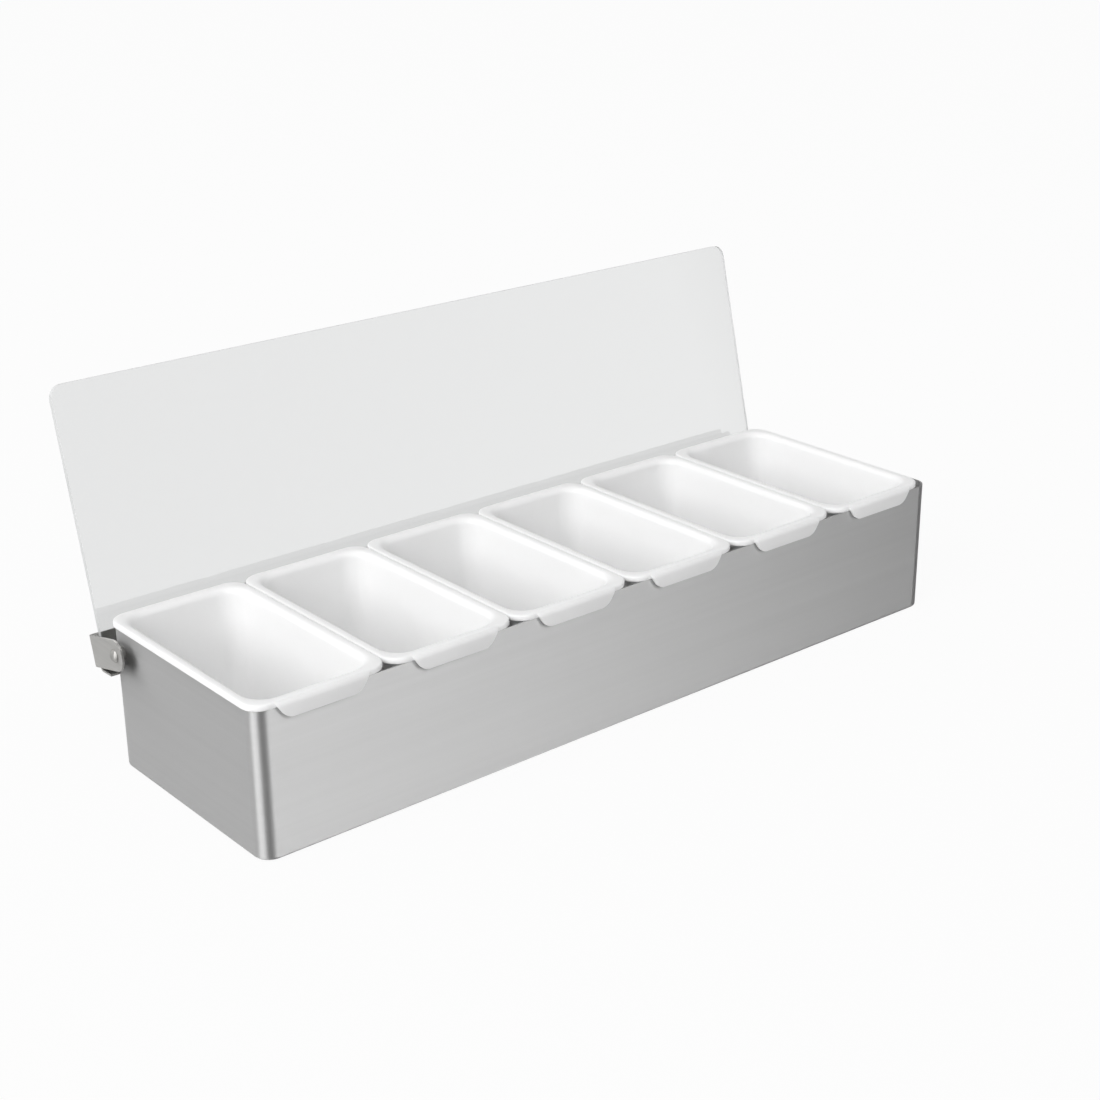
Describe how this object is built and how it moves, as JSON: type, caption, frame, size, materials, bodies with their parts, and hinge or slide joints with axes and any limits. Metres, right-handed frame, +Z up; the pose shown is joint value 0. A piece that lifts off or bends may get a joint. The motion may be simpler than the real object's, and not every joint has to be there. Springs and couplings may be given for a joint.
{
  "type": "condiment caddy",
  "caption": "Steel counter tray whose lift-out moulded inserts hang by their rims under a clear full-length lid on a bent steel hinge rail.",
  "frame": {"origin": "middle of the steel tray's underside, on the counter", "axes": "+X to the right along the tray seen from the front, +Y to the back where the hinge is, +Z up"},
  "size_m": [0.4942, 0.187, 0.1969],
  "materials": {
    "tray_steel": "fine lines brushed along the tray",
    "floor_steel": "mill finish",
    "spacer_steel": "turned",
    "rivet_steel": "smooth, formed",
    "rail_steel": "fine lines brushed along the rail",
    "washer_steel": "satin",
    "lid_clear": "clear moulded sheet, polished",
    "insert_white": "moulded, light gloss"
  },
  "bodies": {
    "tray": {"tray_shell": "tray_steel", "floor_plate": "floor_steel", "pivot_spacer_left": "spacer_steel", "pivot_spacer_right": "spacer_steel", "pivot_rivet_left": "rivet_steel", "pivot_rivet_right": "rivet_steel"},
    "lid": {"hinge_rail": "rail_steel", "lid_panel": "lid_clear", "lid_rivets": "rivet_steel", "lid_washers": "washer_steel"},
    "cup_1": {"insert_1": "insert_white"},
    "cup_2": {"insert_2": "insert_white"},
    "cup_3": {"insert_3": "insert_white"},
    "cup_4": {"insert_4": "insert_white"},
    "cup_5": {"insert_5": "insert_white"},
    "cup_6": {"insert_6": "insert_white"}
  },
  "joints": [
    {"name": "lid_hinge", "type": "hinge", "parent": "tray", "child": "lid", "pos_m": [0, 0.0573, 0.0672], "axis": [-1, 0, 0], "range_deg": [-106.5, 0]},
    {"name": "insert_1_lift", "type": "slide", "parent": "tray", "child": "cup_1", "axis": [0, 0, 1], "range_m": [0, 0.1]},
    {"name": "insert_2_lift", "type": "slide", "parent": "tray", "child": "cup_2", "axis": [0, 0, 1], "range_m": [0, 0.1]},
    {"name": "insert_3_lift", "type": "slide", "parent": "tray", "child": "cup_3", "axis": [0, 0, 1], "range_m": [0, 0.1]},
    {"name": "insert_4_lift", "type": "slide", "parent": "tray", "child": "cup_4", "axis": [0, 0, 1], "range_m": [0, 0.1]},
    {"name": "insert_5_lift", "type": "slide", "parent": "tray", "child": "cup_5", "axis": [0, 0, 1], "range_m": [0, 0.1]},
    {"name": "insert_6_lift", "type": "slide", "parent": "tray", "child": "cup_6", "axis": [0, 0, 1], "range_m": [0, 0.1]}
  ]
}
